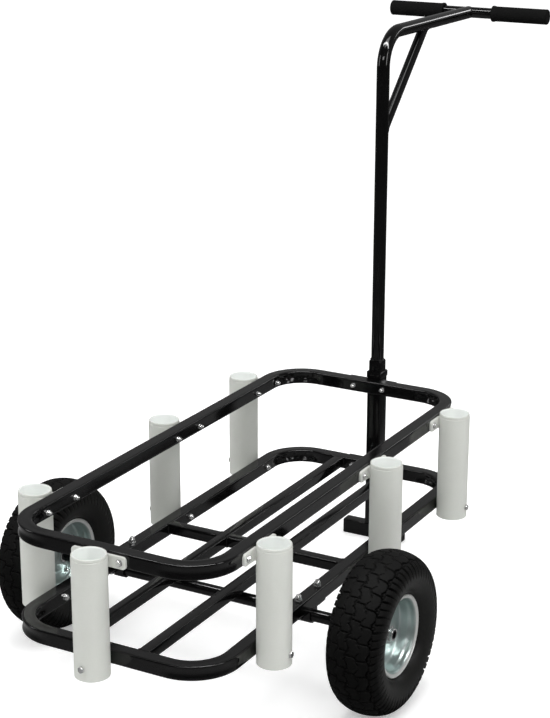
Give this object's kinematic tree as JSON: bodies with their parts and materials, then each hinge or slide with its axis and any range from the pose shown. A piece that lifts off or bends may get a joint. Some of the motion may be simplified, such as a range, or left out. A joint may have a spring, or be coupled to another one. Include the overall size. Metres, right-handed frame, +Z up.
{
  "type": "fishing trolley",
  "caption": "Fishing trolley: twin bent tube rails, barred floor, moulded rod holders, pneumatic wheels on a fixed axle, lift-out T-bar handle and a standing foot.",
  "frame": {"origin": "on the ground, under the middle of the whole trolley's box", "axes": "+Z up, +Y along the trolley from the front rod holder towards the handle, +X to the right-hand wheel"},
  "size_m": [0.7606, 1.4796, 1.0527],
  "materials": {
    "black_powder_coat": "glossy black powder coat",
    "zinc_plate": "zinc plated pressed steel",
    "steel": "bright zinc plated fasteners and rod",
    "tyre_rubber": "matt black rubber",
    "white_plastic": "satin white moulding",
    "black_plastic": "satin black moulding",
    "grip_foam": "matt black grip"
  },
  "bodies": {
    "frame": {"top_ring": "black_powder_coat", "bottom_ring": "black_powder_coat", "deck_bar_left": "black_powder_coat", "deck_bar_right": "black_powder_coat", "deck_cross_left": "black_powder_coat", "deck_cross_middle": "black_powder_coat", "deck_cross_right": "black_powder_coat", "column_tube": "black_powder_coat", "column_band": "black_powder_coat", "column_plate_upper": "black_powder_coat", "column_plate_lower": "black_powder_coat", "foot_bar": "black_powder_coat", "foot_cap_left": "black_plastic", "foot_cap_right": "black_plastic", "axle_tube": "black_powder_coat", "axle_rod": "steel", "axle_saddle_left": "black_powder_coat", "axle_saddle_right": "black_powder_coat", "axle_bolt_left_front": "steel", "axle_bolt_left_rear": "steel", "axle_bolt_right_front": "steel", "axle_bolt_right_rear": "steel", "axle_spacer_left": "steel", "axle_spacer_right": "steel", "axle_collar_left": "zinc_plate", "axle_collar_right": "zinc_plate", "rod_holder_1": "white_plastic", "rod_holder_2": "white_plastic", "rod_holder_3": "white_plastic", "rod_holder_4": "white_plastic", "rod_holder_5": "white_plastic", "rod_holder_6": "white_plastic", "rod_holder_7": "white_plastic", "rest_bolt_1": "steel", "rest_bolt_2": "steel", "rest_bolt_3": "steel", "rest_bolt_4": "steel", "rest_bolt_5": "steel", "rest_bolt_6": "steel", "rest_bolt_7": "steel"},
    "wheel_left": {"tyre_left": "tyre_rubber", "rim_outer_left": "zinc_plate", "rim_inner_left": "zinc_plate", "hub_left": "zinc_plate", "bush_outer_left": "steel", "bush_inner_left": "steel", "valve_stem_left": "black_plastic"},
    "wheel_right": {"tyre_right": "tyre_rubber", "rim_outer_right": "zinc_plate", "rim_inner_right": "zinc_plate", "hub_right": "zinc_plate", "bush_outer_right": "steel", "bush_inner_right": "steel", "valve_stem_right": "black_plastic"},
    "handle": {"handle_insert": "black_powder_coat", "handle_tube": "black_powder_coat", "handle_brace": "black_powder_coat", "handle_t_bar": "black_powder_coat", "grip_left": "grip_foam", "grip_right": "grip_foam"}
  },
  "joints": [
    {"name": "left_wheel_spin", "type": "hinge", "parent": "frame", "child": "wheel_left", "pos_m": [-0.3313, -0.33757, 0.14], "axis": [1, 0, 0], "continuous": true},
    {"name": "right_wheel_spin", "type": "hinge", "parent": "frame", "child": "wheel_right", "pos_m": [0.3313, -0.33757, 0.14], "axis": [1, 0, 0], "continuous": true},
    {"name": "handle_lift", "type": "slide", "parent": "frame", "child": "handle", "axis": [0, 0, 1], "range_m": [0, 0.13]}
  ]
}
